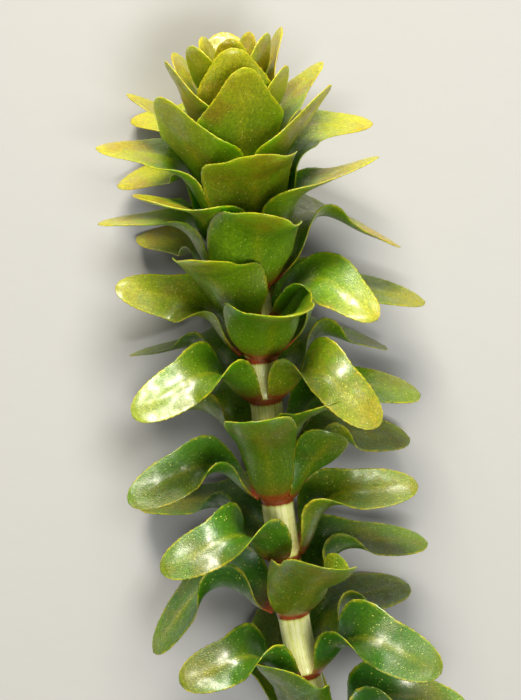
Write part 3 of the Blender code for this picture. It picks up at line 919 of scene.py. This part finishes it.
def stem_material(colors):
    """Moist stem: cream with green lengthwise streaks, and a red-brown ring below each whorl."""
    material, nodes, shader = new_material("moist_stem")
    where = nodes.object_place()
    flat = nodes.flat_place()
    streaks = nodes.noise(nodes.stretched(flat, STREAK_STRETCH), 1.0, STREAK_DETAIL, STREAK_ROUGHNESS)
    threads = nodes.noise(nodes.stretched(flat, THREAD_STRETCH), 1.0, THREAD_DETAIL, STREAK_ROUGHNESS)
    small = nodes.group("uneven_patches", Vector=where, **STEM_PATCHES)["Small mask"]
    cells = nodes.group("plant_cells", Vector=flat, Shift=STEM_CELLS_PART)
    ring = nodes.attribute("ring")

    color = nodes.mix(nodes.ramp(streaks, *STREAKS), colors.stem_cream, colors.stem_green)
    color = nodes.mix(nodes.ramp(threads, *THREADS), color, colors.stem_green)
    color = nodes.mix(nodes.times(small, STEM_PATCH_STRENGTH), color, STEM_PATCH_COLOR)
    # Painted glint: near-white painted on a few cells of the stem as their wet highlights.
    color = nodes.mix(nodes.times(cells["Glint"], STEM_PAINTED_GLINT_STRENGTH), color, STEM_PAINTED_GLINT_COLOR)
    color = nodes.mix(nodes.ramp(ring, *RING_HALO), color, colors.stem_green)
    ragged = nodes.times(nodes.math("SUBTRACT", streaks, 0.5), RING_RAGGEDNESS)
    color = nodes.mix(nodes.ramp(nodes.math("ADD", ring, ragged), *RING_CORE), color, colors.ring_red)
    color = nodes.mix(nodes.ramp(nodes.attribute("age"), *GREEN_TIP), color, colors.middle_green)

    height = nodes.math("ADD", cells["Height"], nodes.times(threads, THREAD_RELIEF))
    nodes.put(shader["Base Color"], color)
    nodes.put(shader["Roughness"], nodes.math("ADD", STEM_ROUGHNESS, nodes.times(small, ROUGHER_PATCHES)))
    nodes.put(shader["Normal"], nodes.bump(height, STEM_BUMP, STEM_RELIEF_DEPTH * MM))
    set_plain(shader, STEM_SURFACE)
    return material


# The floor: patches and grains to a metre, the tint of a patch, and the depth of the grain in mm.
FLOOR_PATCHES = {"Large": 12.0, "Small": 900.0}
FLOOR_TINT = (0.96, 0.96, 0.96)
FLOOR_BUMP = 0.1
FLOOR_GRAIN_DEPTH = 0.02
FLOOR_SURFACE = {"Roughness": 0.6}


def floor_material(colors):
    """Plain pale floor with a faint cloudy tone and a fine grain."""
    material, nodes, shader = new_material("pale_floor")
    patches = nodes.group("uneven_patches", Vector=nodes.object_place(), **FLOOR_PATCHES)
    shaded = nodes.tinted(colors.floor_color, FLOOR_TINT)
    nodes.put(shader["Base Color"], nodes.mix(patches["Large mask"], colors.floor_color, shaded))
    nodes.put(shader["Normal"], nodes.bump(patches["Small mask"], FLOOR_BUMP, FLOOR_GRAIN_DEPTH * MM))
    set_plain(shader, FLOOR_SURFACE)
    return material


# How rusty the leaves of the lower whorls, the upper whorls and the bud are, from 0 to 1.
LOWER_RUST = 0.2
UPPER_RUST = 0.45
BUD_RUST = 0.5


class AddStem(bpy.types.Operator):
    """Adds the fine stem in place of its solid"""

    bl_idname = "waterweed.add_stem"
    bl_label = "Add Stem"

    def execute(self, context):
        scene = context.scene
        settings = scene.waterweed_shape
        points, places, shrink, ring, angles = stem_surface(settings.furrow_depth / MM)
        rows, sides = points.shape[:2]
        ends = np.stack([points[0].mean(0), points[-1].mean(0)])
        grid = np.ones(sides)[None, :]
        values = {
            "ring": np.append((ring * shrink)[:, None] * grid, [0, 0]),
            "age": np.append((places / STEM_LENGTH)[:, None] * grid, [0, 1]),
        }
        around = np.minimum(angles, 2 * np.pi - angles) * STEM_RADIUS / FLAT_MAP_SPAN
        along = (places / FLAT_MAP_SPAN)[:, None] * grid
        flat_map = np.stack([along.ravel(), np.broadcast_to(around, along.shape).ravel()], -1)
        flat_map = np.concatenate([flat_map, [[0, 0], [STEM_LENGTH / FLAT_MAP_SPAN, 0]]])
        everything = np.concatenate([points.reshape(-1, 3), ends])
        mesh = make_mesh("fine_stem", everything, stem_faces(rows, sides), values, flat_map)
        add_piece("fine_stem", mesh, stem_material(scene.waterweed_colors), "stem")
        return {"FINISHED"}


def add_leaves(context, first, last, material_name, rust_amount):
    """All leaves of the whorls from first to last, in one material."""
    settings = context.scene.waterweed_shape
    material = leaf_material(material_name, context.scene.waterweed_colors, rust_amount)
    leaves = [leaf for leaf in LEAVES if first <= leaf.whorl <= last]
    if not leaves:
        raise RuntimeError("no leaves from whorl %d to %d" % (first, last))
    for leaf in leaves:
        add_blade(leaf, settings, material)


class AddLowerLeaves(bpy.types.Operator):
    """Adds the arching leaves of the lower whorls"""

    bl_idname = "waterweed.add_lower_leaves"
    bl_label = "Add Lower Leaves"

    def execute(self, context):
        add_leaves(context, 1, FIRST_UPPER_WHORL - 1, "wet_leaf", LOWER_RUST)
        return {"FINISHED"}


class AddUpperLeaves(bpy.types.Operator):
    """Adds the spreading leaves of the crowded upper whorls"""

    bl_idname = "waterweed.add_upper_leaves"
    bl_label = "Add Upper Leaves"

    def execute(self, context):
        add_leaves(context, FIRST_UPPER_WHORL, FIRST_BUD_WHORL - 1, "young_leaf", UPPER_RUST)
        return {"FINISHED"}


class AddBud(bpy.types.Operator):
    """Adds the overlapping leaves of the bud"""

    bl_idname = "waterweed.add_bud"
    bl_label = "Add Bud"

    def execute(self, context):
        add_leaves(context, FIRST_BUD_WHORL, LAST_WHORL, "bud_leaf", BUD_RUST)
        return {"FINISHED"}


# The stage, in metres and degrees. The camera looks down on the shoot, a little from its tip.
FLOOR_REACH = 0.6
CAMERA_DISTANCE = 0.11
CAMERA_TILT = 12.5
CAMERA_RANGE = (0.005, 10)
KEY_PLACE = (-0.03, 0.3, 0.17)
KEY_SIZE = (0.16, 0.1)
KEY_COLOR = (1, 0.94, 0.8)
FILL_PLACE = (0.06, -0.02, 0.28)
FILL_SIZE = (0.1, 0.1)
FILL_COLOR = (1, 1, 0.96)
# In mm: how far along the stem the camera and the lights aim, and the width of the camera's sensor.
AIM_DISTANCE = 19.0
SENSOR = 36.0


def add_light(name, place, aim, size, power, color):
    """A soft rectangular light that points at the aim."""
    data = bpy.data.lights.new(name, "AREA")
    data.shape = "RECTANGLE"
    data.size, data.size_y = size
    data.energy = power
    data.color = color
    light = bpy.data.objects.new(name, data)
    light.location = place
    light.rotation_euler = (Vector(aim) - Vector(place)).to_track_quat("-Z", "Y").to_euler()
    bpy.context.scene.collection.objects.link(light)


def add_camera(aim, focal_length):
    """A camera over the shoot, tilted so that it looks from the side of the growing tip."""
    data = bpy.data.cameras.new("camera")
    data.lens = focal_length
    data.sensor_width = SENSOR
    data.clip_start, data.clip_end = CAMERA_RANGE
    camera = bpy.data.objects.new("camera", data)
    tilt = np.radians(CAMERA_TILT)
    camera.location = aim + CAMERA_DISTANCE * np.array([0, np.sin(tilt), np.cos(tilt)])
    camera.rotation_euler = (-tilt, 0, 0)
    bpy.context.scene.collection.objects.link(camera)
    bpy.context.scene.camera = camera


def add_floor(material, segments):
    """A square floor at the height that the shoot lies on."""
    mesh = bpy.data.meshes.new("pale_floor")
    bm = bmesh.new()
    bmesh.ops.create_grid(bm, x_segments=segments, y_segments=segments, size=FLOOR_REACH)
    bm.to_mesh(mesh)
    bm.free()
    floor = bpy.data.objects.new("pale_floor", mesh)
    floor.data.materials.append(material)
    bpy.context.scene.collection.objects.link(floor)


def add_surroundings(strength):
    """Even white light from all sides, and a view that leaves the colours as they are."""
    world = bpy.data.worlds.new("soft_surroundings")
    world.use_nodes = True
    background = world.node_tree.nodes["Background"].inputs
    background["Color"].default_value = (1, 1, 1, 1)
    background["Strength"].default_value = strength
    bpy.context.scene.world = world
    bpy.context.scene.view_settings.view_transform = "Standard"


class AddStage(bpy.types.Operator):
    """Adds the pale floor, the soft lights and the camera"""

    bl_idname = "waterweed.add_stage"
    bl_label = "Add Stage"

    def execute(self, context):
        lights = context.scene.waterweed_light
        add_floor(floor_material(context.scene.waterweed_colors), lights.floor_segments)
        add_surroundings(lights.world_strength)
        aim = stem_point(np.float64(AIM_DISTANCE)) * MM
        add_light("key", KEY_PLACE, aim, KEY_SIZE, lights.key_power, KEY_COLOR)
        add_light("fill", FILL_PLACE, aim, FILL_SIZE, lights.fill_power, FILL_COLOR)
        add_camera(aim, lights.focal_length)
        return {"FINISHED"}


class WaterweedPanel(bpy.types.Panel):
    """The settings and the operators, in the sidebar of the 3D view"""

    bl_label = "Waterweed Shoot"
    bl_idname = "VIEW3D_PT_waterweed"
    bl_space_type = "VIEW_3D"
    bl_region_type = "UI"
    bl_category = "Waterweed"

    def draw(self, context):
        """A box for each group of settings, then a button for each operator."""
        for name in SETTINGS:
            settings = getattr(context.scene, name)
            box = self.layout.box()
            for field in settings.__annotations__:
                box.prop(settings, field)
        for operator in OPERATORS:
            self.layout.operator(operator.bl_idname)


OPERATORS = (AddStem, AddLowerLeaves, AddUpperLeaves, AddBud, AddStage)
SETTINGS = {
    "waterweed_shape": WaterweedShapeSettings,
    "waterweed_colors": WaterweedColorSettings,
    "waterweed_light": WaterweedLightSettings,
}
CLASSES = (*SETTINGS.values(), *OPERATORS, WaterweedPanel)


def register():
    """Registers all classes, and adds the settings to the scene."""
    for kind in CLASSES:
        bpy.utils.register_class(kind)
    for name, kind in SETTINGS.items():
        setattr(bpy.types.Scene, name, PointerProperty(type=kind))


def unregister():
    """Takes the settings and all classes out again."""
    for name in SETTINGS:
        delattr(bpy.types.Scene, name)
    for kind in reversed(CLASSES):
        bpy.utils.unregister_class(kind)


def main():
    """Adds every piece and the stage."""
    register()
    bpy.ops.waterweed.add_stem()
    bpy.ops.waterweed.add_lower_leaves()
    bpy.ops.waterweed.add_upper_leaves()
    bpy.ops.waterweed.add_bud()
    bpy.ops.waterweed.add_stage()


if __name__ == "__main__":
    main()
